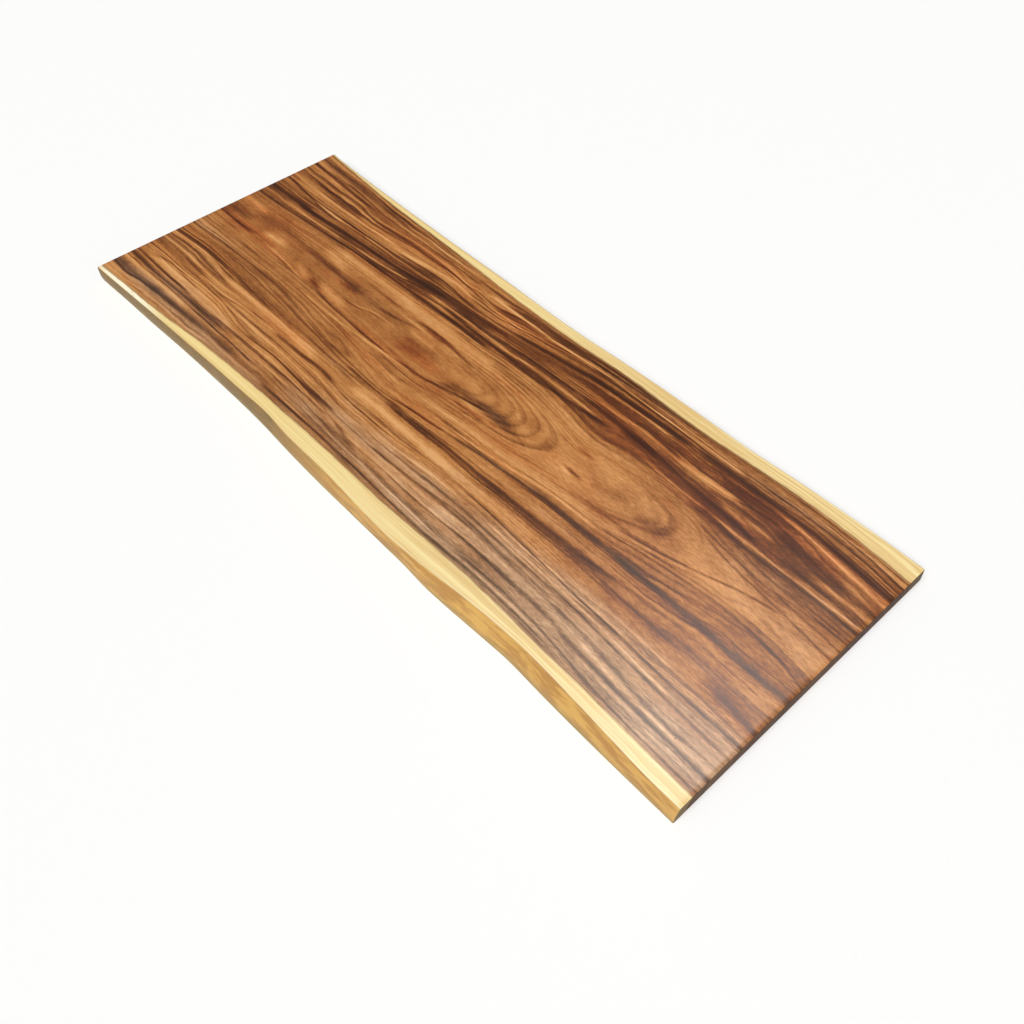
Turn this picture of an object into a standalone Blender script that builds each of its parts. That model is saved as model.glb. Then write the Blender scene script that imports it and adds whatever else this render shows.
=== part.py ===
"""A live edge slab of raintree wood, sawn lengthwise from a trunk.

Metres, +Z up. X runs along the grain from the far end to the near end, and Y runs
across the slab from its left live edge to its right one. The slab lies on its
underside, with its origin below the middle of its bounding box.

The live edges are the outside of the trunk, so they keep its waves and lumps.
Each is drawn as two lines, one along the top face and one along the underside.
A line is a list of (distance from the far end, distance across) pairs, and the
distances across are taken from a straight datum line beside the left edge.
"""

import math

import bmesh
import bpy
import numpy as np

LENGTH = 1.93
THICKNESS = 0.048
STATION_GAP = 0.012

LEFT_TOP = (
    (0.00, -0.008), (0.10, -0.004), (0.22, 0.001), (0.36, 0.006), (0.50, 0.010),
    (0.60, 0.012), (0.68, 0.014), (0.78, 0.007), (0.90, 0.006), (1.02, 0.000),
    (1.11, -0.004), (1.22, 0.000), (1.32, 0.009), (1.42, 0.0165), (1.51, 0.019),
    (1.62, 0.014), (1.74, 0.006), (1.84, -0.001), (1.93, -0.003),
)
LEFT_BOTTOM = (
    (0.00, -0.002), (0.10, 0.001), (0.22, 0.0035), (0.36, 0.008), (0.50, 0.0095),
    (0.60, 0.0095), (0.68, 0.0075), (0.78, 0.002), (0.90, -0.002), (1.02, -0.0035),
    (1.12, -0.0045), (1.19, -0.0055), (1.26, -0.009), (1.32, -0.008), (1.40, -0.0045),
    (1.49, -0.001), (1.60, -0.0055), (1.72, -0.009), (1.82, -0.0105), (1.93, -0.0115),
)
RIGHT_TOP = (
    (0.00, 0.732), (0.06, 0.728), (0.15, 0.7255), (0.30, 0.723), (0.50, 0.722),
    (0.70, 0.7235), (0.85, 0.722), (0.98, 0.7235), (1.08, 0.729), (1.20, 0.734),
    (1.35, 0.737), (1.50, 0.739), (1.60, 0.7445), (1.72, 0.7485), (1.84, 0.7505),
    (1.93, 0.7495),
)
RIGHT_BOTTOM = (
    (0.00, 0.736), (0.12, 0.732), (0.30, 0.731), (0.48, 0.729), (0.60, 0.7325),
    (0.74, 0.737), (0.88, 0.7345), (1.00, 0.735), (1.10, 0.7395), (1.24, 0.7435),
    (1.38, 0.750), (1.50, 0.7525), (1.62, 0.756), (1.76, 0.7585), (1.86, 0.7585),
    (1.93, 0.7575),
)

# The flank between an edge's two lines swells outward, and sandpaper has eased its arrises.
SWELL = 0.0022
TOP_EASE = 0.002
BOTTOM_EASE = 0.003
FLANK_LEVELS = 5

# Waves in the trunk's surface: the length of a wave along the grain, its height, and how many
# waves it leans by per metre up the flank.
LUMPS = (
    (0.310, 0.0009, 4.0),
    (0.173, 0.0006, -9.0),
    (0.079, 0.0004, 16.0),
)
LEFT_PHASE = 0.6
RIGHT_PHASE = 2.9

WOOD_COLOUR = (0.27, 0.115, 0.042, 1.0)
WOOD_ROUGHNESS = 0.45


def clear_scene():
    """Removes what the scene holds, so that it has the slab alone."""
    for old in list(bpy.data.objects):
        bpy.data.objects.remove(old)


def wood_material():
    """Oiled brown heartwood."""
    material = bpy.data.materials.new("raintree_wood")
    material.use_nodes = True
    shader = material.node_tree.nodes["Principled BSDF"]
    shader.inputs["Base Color"].default_value = WOOD_COLOUR
    shader.inputs["Roughness"].default_value = WOOD_ROUGHNESS
    shader.inputs["Metallic"].default_value = 0.0
    return material


def smooth_line(points, along):
    """The line through these points, read at the distances along, with no corners."""
    place, across = np.array(points).T
    slope = np.gradient(across, place)
    first = np.clip(np.searchsorted(place, along) - 1, 0, len(place) - 2)
    span = place[first + 1] - place[first]
    t = (along - place[first]) / span
    return (
        (2 * t**3 - 3 * t**2 + 1) * across[first]
        + (t**3 - 2 * t**2 + t) * span * slope[first]
        + (3 * t**2 - 2 * t**3) * across[first + 1]
        + (t**3 - t**2) * span * slope[first + 1]
    )


def lumps(along, height, phase):
    """How far the trunk's surface stands proud at a place on the flank."""
    proud = 0.0
    for number, (wave, rise, lean) in enumerate(LUMPS, start=1):
        waves = along / wave + lean * height
        proud += rise * math.sin(2 * math.pi * waves + number * phase)
    return proud


def flank(top, bottom, outward, along, phase):
    """One live edge in section, from the top arris down to the bottom arris, as (y, z) pairs."""
    points = [(top - outward * TOP_EASE, THICKNESS)]
    for level in range(FLANK_LEVELS):
        down = level / (FLANK_LEVELS - 1)
        height = THICKNESS - TOP_EASE - down * (THICKNESS - TOP_EASE - BOTTOM_EASE)
        middle = math.sin(math.pi * down)
        bulge = middle * (SWELL + lumps(along, height, phase))
        points.append((top + (bottom - top) * down + outward * bulge, height))
    points.append((bottom - outward * BOTTOM_EASE, 0.0))
    return points


def section(along, edges):
    """The closed outline of the slab at one station, as (y, z) pairs."""
    left_top, left_bottom, right_top, right_bottom = edges
    left = flank(left_top, left_bottom, -1, along, LEFT_PHASE)
    right = flank(right_top, right_bottom, 1, along, RIGHT_PHASE)
    return left + right[::-1]


def slab_mesh():
    """Joins a section at each station into one closed solid with square sawn ends."""
    stations = np.linspace(0.0, LENGTH, round(LENGTH / STATION_GAP) + 1)
    lines = [smooth_line(p, stations) for p in (LEFT_TOP, LEFT_BOTTOM, RIGHT_TOP, RIGHT_BOTTOM)]
    sections = [section(s, edges) for s, edges in zip(stations, zip(*lines))]
    spread = [y for outline in sections for y, _ in outline]
    middle = (min(spread) + max(spread)) / 2

    slab = bmesh.new()
    rings = []
    for s, outline in zip(stations, sections):
        rings.append([slab.verts.new((s - LENGTH / 2, y - middle, z)) for y, z in outline])
    for back, front in zip(rings, rings[1:]):
        for i in range(len(back)):
            j = (i + 1) % len(back)
            slab.faces.new((back[i], back[j], front[j], front[i]))
    slab.faces.new(rings[0][::-1])
    slab.faces.new(rings[-1])
    bmesh.ops.recalc_face_normals(slab, faces=slab.faces)

    mesh = bpy.data.meshes.new("live_edge_slab")
    slab.to_mesh(mesh)
    slab.free()
    return mesh


clear_scene()
slab_object = bpy.data.objects.new("live_edge_slab", slab_mesh())
slab_object.data.materials.append(wood_material())
slab_object.data.shade_smooth()
slab_object.data.set_sharp_from_angle(angle=math.radians(30))
bpy.context.scene.collection.objects.link(slab_object)
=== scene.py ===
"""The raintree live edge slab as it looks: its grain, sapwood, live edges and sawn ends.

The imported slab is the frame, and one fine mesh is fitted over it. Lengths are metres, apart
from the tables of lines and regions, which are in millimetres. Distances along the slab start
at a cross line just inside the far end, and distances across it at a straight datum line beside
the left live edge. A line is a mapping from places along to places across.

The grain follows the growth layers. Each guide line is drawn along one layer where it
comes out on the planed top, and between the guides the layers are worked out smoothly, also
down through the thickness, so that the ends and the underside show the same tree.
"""

import math

import bpy
import numpy as np
from mathutils import Matrix, Vector, noise
from mathutils.bvhtree import BVHTree


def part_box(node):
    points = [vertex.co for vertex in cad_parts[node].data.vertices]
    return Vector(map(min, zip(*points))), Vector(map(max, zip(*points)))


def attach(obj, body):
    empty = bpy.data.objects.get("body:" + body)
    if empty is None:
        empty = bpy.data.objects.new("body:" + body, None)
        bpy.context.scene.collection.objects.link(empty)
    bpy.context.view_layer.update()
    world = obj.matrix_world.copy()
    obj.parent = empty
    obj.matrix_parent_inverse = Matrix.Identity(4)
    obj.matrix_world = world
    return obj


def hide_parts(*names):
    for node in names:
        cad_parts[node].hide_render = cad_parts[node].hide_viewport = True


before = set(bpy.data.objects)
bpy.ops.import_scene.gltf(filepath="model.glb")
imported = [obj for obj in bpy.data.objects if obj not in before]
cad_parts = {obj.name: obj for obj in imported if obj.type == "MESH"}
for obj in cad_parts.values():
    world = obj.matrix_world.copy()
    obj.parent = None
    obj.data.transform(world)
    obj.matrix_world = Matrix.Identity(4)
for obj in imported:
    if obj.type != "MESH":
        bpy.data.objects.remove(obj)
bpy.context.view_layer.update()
SLAB_NODE = "live_edge_slab"
LOW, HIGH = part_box(SLAB_NODE)
LENGTH = HIGH.x - LOW.x
THICKNESS = HIGH.z - LOW.z

# The tables of lines and regions are divided by these: lengths by MM, and darkness, redness and
# calm by PERCENT.
MM = 1000
PERCENT = 100
LEFT = -1
RIGHT = 1

# Where the distances start, measured in from the lowest corner of the slab's box. A streak that
# is drawn to GUIDE_END, in millimetres, runs on past the near end.
GUIDE_START = 0.010
DATUM_IN = 0.0117
GUIDE_END = 1930

# The mesh: rows of points along the slab, columns on the top in each band of the grain, and
# levels down the live edges. The underside has one column for every three on the top.
STATIONS = 153
OUTER_COLUMNS = {LEFT: 160, RIGHT: 121}
INNER_COLUMNS = 44
COLUMNS_PER_UNDER = 3
FLANK_LEVELS = 12
ARRIS_STEPS = 3
TOP_COUNT = sum(OUTER_COLUMNS.values()) + 2 * INNER_COLUMNS + 1
UNDER_COUNT = (TOP_COUNT - 1) // COLUMNS_PER_UNDER + 1
FLANK_COUNT = FLANK_LEVELS + 2 * ARRIS_STEPS - 2
TOP_ARRIS = 0.0022
BOTTOM_ARRIS = 0.003
END_ARRIS = (0.0012, 0.0004)

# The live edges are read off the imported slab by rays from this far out, the last ones this far
# in from its ends. A reading stays inside the last gap of its table of stations and heights.
RAY_START = 2.0
RAY_INSET = 1e-4
INSIDE_LAST = 1.000001

# The low relief of the live edges: (turns per metre along, turns per metre up, half depth).
HOLLOWS = (9, 45, 0.0004)
RIDGES = (14, 210, 0.00022)
FLANK_SEED = {LEFT: 0.0, RIGHT: 40.0}
RIDGE_SEED = 9

# The strips of the square that the parts of the skin are mapped to, and the margin at their
# ends. The two sawn ends share the lowest strip.
MAP_STRIPS = {
    "top": (0.340, 0.995), "under": (0.165, 0.335), "left": (0.115, 0.160),
    "right": (0.065, 0.110), "end": (0.008, 0.058),
}
MAP_MARGIN = 0.005

# The pith lies below the planed top, by this much at the scale of the growth layers.
PITH_DEPTH = 0.12

# Wood nearer the pith than any on the planed top is drawn as the middle of the top is, spread
# out so that this share of a distance from the pith line is left.
UNDER_SPREAD = 0.45

# The pith line as it comes nearest to the planed top, and the layer that shows above it. A layer
# is named by a length in millimetres that grows outward from the pith.
PITH_LINE = {
    0: 400, 300: 400, 600: 405, 900: 410, 1100: 418, 1300: 425, 1500: 440, 1700: 442, 1920: 430,
}
PITH_LAYER = {
    0: 30, 400: 34, 700: 40, 850: 48, 920: 55, 1000: 72, 1100: 100, 1180: 124, 1240: 130,
    1300: 130, 1370: 133, 1440: 142, 1500: 149, 1550: 158, 1620: 168, 1720: 175, 1920: 160,
}
# How square the arcs are where they close over the pith line: 2 is a parabola's tip.
ARC_POWER = 2.3
# How fast the layers close in on the pith below the planed top, per square metre.
PITH_CURVE = 70.0
# The layers leave the arcs at most this many times as steeply as they go on to the next guide,
# and the cubic of the last gap is read on to this share of the gap.
STEEPEST = 2.5
PAST_EDGE = 1.3

# Away from the arcs the fibres run straight along the middle. There the layers fan out from the
# pith line, this steeply, and the two sides of it have lines of their own, by this much, both in
# thousandths.
PITH_FAN = {
    0: 300, 550: 250, 900: 0, 1500: 0, 1720: 250, 1920: 400,
}
PITH_SPLIT = {
    0: 800, 600: 800, 850: 0, 1600: 0, 1800: 500, 1920: 600,
}
FAN_REACH = 0.050
FAN_TIP = 0.15
FAN_TAIL = 2.2
SPLIT_REACH = 0.020
SPLIT_TURN = 0.15

# Guide lines on each side of the pith line, from the middle outward: each layer's line on the top.
LEFT_GUIDES = {
    190: {
        0: 300, 200: 303, 400: 306, 550: 297, 700: 284, 800: 278, 900: 292, 1000: 303, 1100: 308,
        1200: 320, 1300: 328, 1400: 332, 1500: 349, 1600: 363, 1700: 372, 1800: 368, 1920: 345,
    },
    215: {
        0: 270, 300: 290, 450: 280, 600: 257, 700: 250, 800: 248, 900: 262, 1000: 274, 1100: 287,
        1200: 298, 1300: 306, 1400: 309, 1500: 310, 1600: 312, 1700: 311, 1800: 303, 1920: 299,
    },
    260: {
        0: 228, 100: 237, 200: 236, 300: 233, 400: 229, 600: 226, 800: 231, 1000: 240, 1100: 240,
        1250: 244, 1400: 247, 1500: 245, 1600: 240, 1700: 235, 1800: 228, 1920: 215,
    },
    315: {
        0: 170, 100: 172, 200: 168, 300: 172, 400: 183, 600: 183, 650: 187, 700: 182, 750: 176,
        850: 175, 950: 180, 1050: 190, 1200: 193, 1350: 189, 1500: 182, 1600: 180, 1700: 172,
        1800: 168, 1920: 163,
    },
    365: {
        0: 135, 100: 139, 300: 145, 450: 128, 550: 134, 650: 131, 800: 127, 950: 129, 1150: 136,
        1500: 130, 1600: 122, 1700: 112, 1800: 106, 1920: 100,
    },
    390: {
        0: 110, 200: 108, 450: 108, 600: 113, 700: 110, 900: 100, 1000: 101, 1100: 102, 1150: 107,
        1250: 110, 1350: 108, 1450: 105, 1550: 98, 1650: 89, 1750: 82, 1850: 77, 1920: 73,
    },
    418: {
        0: 78, 200: 83, 350: 83, 500: 84, 700: 81, 850: 78, 1000: 76, 1200: 74, 1300: 77, 1400: 79,
        1500: 76, 1600: 66, 1700: 56, 1800: 51, 1920: 47,
    },
    453: {
        0: 4, 100: 10, 200: 14.5, 300: 23, 400: 33, 550: 41, 700: 45, 900: 47, 1050: 45, 1200: 50,
        1400: 50, 1500: 45, 1600: 43, 1700: 40, 1800: 36, 1920: 31,
    },
}
RIGHT_GUIDES = {
    190: {
        0: 478, 100: 483, 200: 494, 350: 510, 450: 513, 650: 521, 850: 527, 950: 531, 1050: 528,
        1150: 516, 1220: 506, 1300: 515, 1400: 526, 1500: 525, 1600: 514, 1700: 511, 1920: 505,
    },
    225: {
        0: 525, 100: 522, 200: 529, 300: 536, 400: 541, 500: 551, 600: 563, 800: 566, 1000: 573,
        1100: 577, 1200: 578, 1300: 572, 1400: 560, 1500: 554, 1700: 543, 1800: 535, 1920: 522,
    },
    255: {
        0: 548, 170: 556, 350: 566, 500: 572, 700: 580, 900: 593, 1200: 600, 1300: 598, 1400: 590,
        1500: 594, 1600: 602, 1700: 605, 1750: 600, 1850: 587, 1920: 578,
    },
    285: {
        0: 573, 200: 578, 350: 582, 500: 594, 600: 602, 700: 594, 800: 597, 900: 609, 1000: 625,
        1100: 640, 1250: 645, 1450: 650, 1600: 650, 1700: 652, 1800: 644, 1920: 632,
    },
    320: {
        0: 640, 200: 632, 300: 634, 400: 640, 600: 640, 750: 627, 800: 630, 900: 640, 1000: 655,
        1100: 663, 1200: 667, 1400: 667, 1600: 670, 1700: 676, 1800: 672, 1920: 655,
    },
    345: {
        0: 690, 150: 685, 250: 680, 350: 673, 500: 671, 600: 675, 800: 671, 1000: 674, 1100: 683,
        1200: 688, 1400: 690, 1600: 697, 1700: 700, 1800: 697, 1920: 685,
    },
    370: {
        0: 726.5, 50: 722, 100: 719, 200: 711, 300: 707, 500: 703, 700: 696, 800: 693, 1000: 695,
        1100: 701, 1200: 702, 1300: 699, 1400: 700, 1500: 706, 1700: 712, 1800: 708, 1920: 698,
    },
}
GUIDES = {LEFT: LEFT_GUIDES, RIGHT: RIGHT_GUIDES}
# The layers where the sapwood starts, and those at the live edges' upper lines.
SAP_LAYER = {LEFT: 453, RIGHT: 370}
EDGE_LAYER = {LEFT: 490, RIGHT: 400}

# Streaks of pigment on the top: (darkness, redness, half width, line). A negative darkness is a
# pale streak, and a negative redness a grey one. A streak's number in the table sets its waves.
STREAKS = (
    # right of the middle, from the pith line outward
    (42, 0, 4.4, {0: 480, 100: 485, 200: 494, 300: 503, 370: 510, 470: 514}),
    (11, 0, 15, {0: 525, 200: 534, 400: 550, 620: 568}),
    (34, 10, 4.6, {400: 512, 550: 517, 650: 521, 750: 523, 870: 525}),
    (-34, -30, 4.2, {50: 504, 180: 508, 300: 516, 400: 525, 560: 541}),
    (30, 20, 7, {0: 522, 80: 527, 170: 533}),
    (50, 0, 5.2, {100: 522, 200: 529, 300: 538, 400: 544, 500: 551, 600: 563, 660: 566}),
    (34, 0, 9, {540: 558, 640: 566, 740: 569, 840: 572}),
    (14, 20, 6, {560: 577, 700: 581, 900: 584}),
    (22, 0, 4.6, {900: 573, 1000: 574, 1120: 577}),
    (36, 0, 6, {1100: 578, 1200: 579, 1300: 575, 1370: 566}),
    (24, 10, 8, {1240: 570, 1350: 573, 1450: 572, 1560: 566}),
    (26, 0, 4.6, {1330: 569, 1500: 556, 1650: 548, 1860: 545}),
    (36, 0, 4.6, {670: 540, 850: 538, 1000: 537, 1100: 543, 1230: 552}),
    (-32, 0, 3.2, {600: 547, 730: 550, 820: 551, 950: 550}),
    (-38, -30, 3.2, {900: 553, 990: 557, 1080: 558, 1200: 557}),
    (-32, -20, 2.8, {1310: 544, 1430: 537, 1540: 534}),
    (-34, -60, 3, {1520: 535, 1660: 531, 1820: 530, 1930: 531}),
    # faint lines in the sapwood, right and then left
    (22, 0, 2, {1560: 713.5, 1700: 717.5, 1800: 716, 1930: 706}),
    (14, 0, 2.2, {1460: 728, 1700: 733, 1930: 729}),
    (14, 0, 1.8, {950: 706, 1200: 712, 1500: 716}),
    (12, 0, 1.8, {400: 708, 700: 704, 950: 706}),
    (12, 0, 2, {600: 29, 900: 30, 1300: 34, 1600: 30}),
    (10, 0, 1.6, {500: 22, 800: 20, 1100: 18}),
    # right of the middle again, outward
    (26, 30, 6, {1470: 526, 1580: 520, 1670: 515}),
    (26, 0, 5, {1630: 519, 1750: 520, 1930: 518}),
    (20, 40, 2.6, {1080: 531, 1170: 515, 1220: 507, 1280: 512}),
    (34, 0, 3.2, {0: 575, 80: 567, 170: 556, 240: 553}),
    (18, 50, 4, {230: 571, 370: 565}),
    (-20, 0, 3, {80: 562, 160: 561, 280: 560}),
    (-22, 10, 5.5, {0: 598, 120: 592, 220: 594, 350: 601, 470: 603, 540: 613, 620: 622, 720: 612}),
    (28, 0, 4.2, {430: 588, 500: 594, 600: 602, 700: 594, 800: 599, 900: 611, 1000: 625, 1100: 639}),
    (22, 10, 9, {840: 602, 950: 617, 1040: 630, 1120: 640}),
    (-22, 10, 2.4, {700: 629, 800: 627, 920: 630, 1000: 642}),
    (-20, 10, 2.4, {680: 618, 780: 617, 880: 620}),
    (44, 0, 5.2, {1060: 637, 1150: 642, 1250: 646, 1400: 650}),
    (-30, -40, 2.6, {1120: 628, 1200: 634, 1360: 638}),
    (-22, 0, 3.4, {950: 588, 1090: 590, 1180: 594, 1270: 601, 1370: 595}),
    (44, 0, 6.8, {1380: 650, 1500: 651, 1600: 653, 1700: 654, 1800: 646, 1930: 631}),
    (-30, -20, 2.4, {1620: 641, 1720: 637, 1800: 628, 1880: 619}),
    (-34, 0, 10, {1360: 604, 1480: 600, 1580: 605}),
    (24, 0, 2.6, {1440: 592, 1520: 598, 1600: 612, 1680: 622}),
    (28, 20, 15, {1640: 603, 1750: 597, 1850: 586}),
    (30, 20, 7, {1780: 592, 1860: 582, 1930: 576}),
    (-30, 0, 3.4, {1570: 580, 1630: 577, 1690: 572}),
    (-32, 20, 7, {1760: 563, 1830: 562, 1930: 558}),
    (28, 10, 3.4, {50: 621, 160: 616, 280: 611}),
    (36, 0, 3, {0: 667, 120: 662, 270: 654}),
    (-26, 0, 2.4, {0: 674, 120: 669, 270: 662}),
    (-26, 20, 2.8, {0: 657, 100: 653, 260: 646}),
    (26, -20, 9, {0: 697, 120: 690, 250: 682, 400: 677}),
    (18, 0, 6, {0: 640, 120: 637, 280: 634}),
    (22, 10, 3.4, {380: 639, 500: 639, 600: 640, 750: 629}),
    (18, 0, 3, {330: 673, 500: 672, 680: 673, 840: 672}),
    (28, 0, 3.6, {800: 672, 950: 673, 1050: 679, 1200: 684}),
    (-36, -20, 2.8, {710: 657, 850: 657, 1000: 661, 1100: 669, 1250: 669, 1540: 670}),
    (22, 0, 2.6, {1050: 661, 1200: 663, 1400: 663}),
    (24, 0, 3, {1550: 676, 1720: 677, 1840: 670, 1930: 660}),
    (16, 20, 3.6, {1000: 690, 1250: 694, 1500: 698, 1750: 700, 1930: 688}),
    # along the middle
    (-16, 10, 15, {320: 488, 600: 490, 930: 492}),
    (8, 20, 6, {150: 429, 250: 431, 360: 429, 540: 420}),
    (10, 0, 15, {60: 424, 200: 431, 380: 426, 600: 418}),
    (-20, 10, 6, {0: 440, 60: 438, 120: 435}),
    (-18, 0, 11, {290: 462, 350: 456, 420: 448}),
    (8, 50, 4, {400: 411, 460: 412, 520: 418}),
    (20, 10, 3.4, {540: 418, 600: 424, 660: 436, 720: 450}),
    (34, 30, 4, {650: 459, 720: 464, 780: 463, 840: 457, 900: 453}),
    (18, 80, 7, {690: 457, 750: 459, 810: 458}),
    (-16, 0, 2.6, {600: 447, 680: 449, 760: 447}),
    (-20, 10, 7, {660: 430, 720: 427, 800: 428}),
    (18, 20, 2.6, {450: 462, 560: 461, 640: 462}),
    (-20, 0, 2.2, {490: 381, 540: 388, 580: 402, 630: 406, 680: 404}),
    (18, 20, 2.4, {470: 378, 530: 381, 570: 395, 620: 399}),
    (8, 40, 16, {660: 405, 750: 403, 830: 405}),
    (6, 70, 16, {680: 385, 860: 385}),
    (18, -20, 13, {0: 388, 50: 388, 100: 392}),
    (30, 40, 5, {0: 360, 50: 359, 100: 361, 150: 366}),
    (14, 60, 10, {30: 352, 100: 356, 150: 360}),
    (-28, 0, 11, {130: 386, 190: 388, 250: 392}),
    (-26, 0, 2.2, {170: 357, 250: 357, 310: 352, 380: 343}),
    (20, 30, 2.4, {200: 352, 270: 350, 340: 342}),
    (-28, 0, 10, {290: 376, 350: 362, 390: 352}),
    (20, 70, 6, {370: 366, 400: 358, 430: 352}),
    (-30, 0, 11, {390: 372, 450: 366, 530: 360}),
    (26, 50, 2.6, {400: 352, 480: 339, 560: 336, 630: 334, 720: 337}),
    (-22, 0, 2.8, {380: 320, 480: 317, 600: 322, 700: 330, 800: 335}),
    (22, 30, 3, {130: 316, 180: 317, 230: 318}),
    (16, 40, 9, {240: 281, 330: 287, 420: 282}),
    (20, 10, 2.6, {0: 272, 100: 280, 200: 283, 300: 285}),
    (16, 40, 3.4, {0: 335, 60: 336, 120: 338}),
    (40, 30, 3, {720: 338, 780: 341, 840: 346, 880: 355}),
    (42, 0, 4, {820: 345, 880: 357, 930: 368, 970: 376, 1020: 386}),
    (26, 0, 3, {840: 356, 880: 368, 930: 372}),
    (20, -50, 11, {860: 374, 930: 386, 1000: 390, 1100: 388}),
    (16, -30, 6, {1000: 376, 1060: 378, 1130: 384}),
    (24, 20, 2.6, {900: 352, 970: 353, 1050: 358}),
    (-20, 0, 5, {920: 364, 980: 368, 1030: 372}),
    (-22, 0, 2.2, {860: 484, 920: 483, 990: 478}),
    (-24, 0, 2.2, {1020: 440, 1050: 430, 1090: 416}),
    (24, 60, 2.6, {1140: 461, 1190: 455, 1250: 447}),
    (22, 90, 6, {1205: 459, 1275: 458}),
    (-24, 0, 3.4, {1225: 393, 1270: 391}),
    (44, 10, 3.6, {1225: 403, 1260: 400, 1300: 396}),
    (20, 10, 2.4, {1280: 364, 1380: 367, 1460: 372, 1560: 392}),
    (34, 30, 2.8, {1420: 360, 1500: 373, 1570: 390, 1620: 403, 1680: 422, 1800: 448}),
    (26, 10, 2.4, {1540: 488, 1630: 467, 1700: 458, 1780: 450, 1930: 430}),
    (24, 0, 2.6, {1520: 500, 1600: 487, 1700: 476, 1800: 471, 1930: 459}),
    (-12, 0, 25, {1540: 415, 1700: 400, 1930: 405}),
    (26, 10, 2.6, {1380: 329, 1500: 350, 1600: 363, 1680: 372, 1780: 370, 1860: 359, 1930: 338}),
    (20, 10, 2.2, {1420: 316, 1550: 323, 1650: 335, 1780: 352}),
    (14, 0, 2.2, {1500: 336, 1620: 352, 1720: 360, 1840: 350, 1930: 330}),
    (18, 0, 2, {1480: 358, 1580: 372, 1680: 383, 1800: 384, 1930: 366}),
    (16, 0, 2, {1600: 512, 1700: 497, 1800: 490, 1930: 482}),
    (-20, 0, 3, {920: 284, 1050: 293, 1160: 307, 1260: 323, 1420: 327}),
    # left of the middle, outward
    (24, 10, 2.6, {560: 259, 700: 250, 800: 248, 900: 262, 1000: 274}),
    (26, -80, 3.6, {980: 272, 1100: 287, 1240: 302}),
    (30, -110, 8.5, {1190: 300, 1300: 306, 1400: 305, 1560: 312}),
    (40, -60, 8, {1460: 304, 1600: 307, 1700: 307, 1800: 302, 1930: 300}),
    (32, 10, 3, {0: 228, 100: 236, 200: 235, 300: 229, 420: 222}),
    (-22, 20, 2.4, {0: 216, 80: 223, 180: 226, 300: 220}),
    (13, 0, 5, {530: 228, 670: 227, 780: 232}),
    (30, 20, 3.4, {660: 243, 780: 240, 900: 247}),
    (23, 0, 12.2, {820: 233, 1000: 240, 1150: 242, 1300: 246, 1540: 258}),
    (12, 10, 4.5, {900: 243, 1080: 247, 1260: 250, 1400: 257}),
    (20, 40, 4, {1400: 252, 1500: 263, 1620: 272}),
    (13, 40, 6, {1460: 238, 1550: 238, 1720: 234}),
    (26, 30, 13, {1760: 234, 1840: 220, 1930: 206}),
    (-16, 40, 13, {220: 205, 400: 208, 620: 205}),
    (30, 20, 8, {0: 170, 80: 173, 160: 172, 220: 167}),
    (26, 0, 2.6, {200: 166, 280: 163, 340: 172, 440: 176}),
    (26, 10, 3, {360: 184, 460: 185}),
    (44, 0, 4.8, {460: 181, 580: 183, 660: 187, 730: 176}),
    (-18, 40, 13, {720: 205, 870: 207, 1100: 210}),
    (26, 20, 2.4, {720: 176, 820: 173, 920: 176, 1020: 187, 1140: 192}),
    (28, 0, 3, {30: 124, 90: 137, 170: 135, 250: 126}),
    (-20, 30, 6, {20: 116, 100: 124, 200: 120}),
    (26, 10, 3, {0: 107, 120: 105, 240: 111}),
    (20, 0, 2.4, {100: 154, 200: 156, 280: 152, 380: 143}),
    (33, 0, 3.6, {420: 127, 520: 132, 670: 130, 800: 130}),
    (-20, 30, 3.4, {260: 150, 400: 153, 580: 151, 700: 147}),
    (30, 0, 2.6, {310: 106, 500: 111, 670: 112, 800: 107}),
    (-22, 20, 3, {400: 98, 520: 98, 660: 100}),
    (30, 0, 3, {260: 82, 400: 83, 550: 82}),
    (26, -40, 9, {0: 92, 120: 90, 280: 94, 400: 96}),
    (-28, 30, 4.4, {0: 72, 100: 74, 280: 75}),
    (20, -30, 10, {120: 56, 300: 60, 500: 66}),
    (22, -30, 11, {0: 52, 80: 50, 200: 54}),
    (-14, 20, 6, {0: 31, 100: 34, 220: 38}),
    (26, 0, 2.6, {580: 58, 750: 62, 980: 60, 1150: 56, 1300: 60}),
    (-20, 0, 2.4, {920: 73, 1040: 73, 1180: 71}),
    (24, 10, 3.4, {900: 126, 1020: 130, 1120: 135, 1240: 137}),
    (-22, 10, 2.6, {820: 105, 1000: 106, 1120: 106, 1240: 112, 1340: 115}),
    (22, 0, 2.4, {980: 101, 1120: 101, 1220: 106, 1320: 105, 1420: 102}),
    (-20, 10, 4, {980: 166, 1060: 170, 1160: 176}),
    (54, 0, 2.8, {1120: 193, 1200: 193, 1320: 188, 1460: 180, 1620: 174}),
    (36, 0, 3, {1560: 177, 1640: 172, 1720: 168, 1930: 164}),
    (32, 0, 2.8, {1020: 152, 1140: 157, 1270: 156, 1400: 155, 1500: 155, 1600: 148, 1740: 142}),
    (14, 0, 8, {1180: 137, 1320: 140, 1480: 137}),
    (28, 0, 4.6, {1440: 129, 1550: 124, 1650: 115, 1750: 103, 1860: 97}),
    (24, 0, 4.2, {1180: 107, 1300: 108, 1420: 106, 1540: 100}),
    (36, 0, 5, {1500: 98, 1620: 88, 1750: 81, 1930: 73}),
    (34, 0, 3.2, {1240: 74, 1380: 79, 1480: 75, 1580: 63, 1680: 52, 1930: 40}),
    (22, 0, 3.6, {1160: 59, 1300: 63, 1420: 62, 1560: 58}),
    (22, 0, 3.6, {1660: 144, 1780: 138, 1930: 131}),
    (-18, 0, 4, {1550: 110, 1660: 101, 1800: 90, 1930: 85}),
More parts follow.
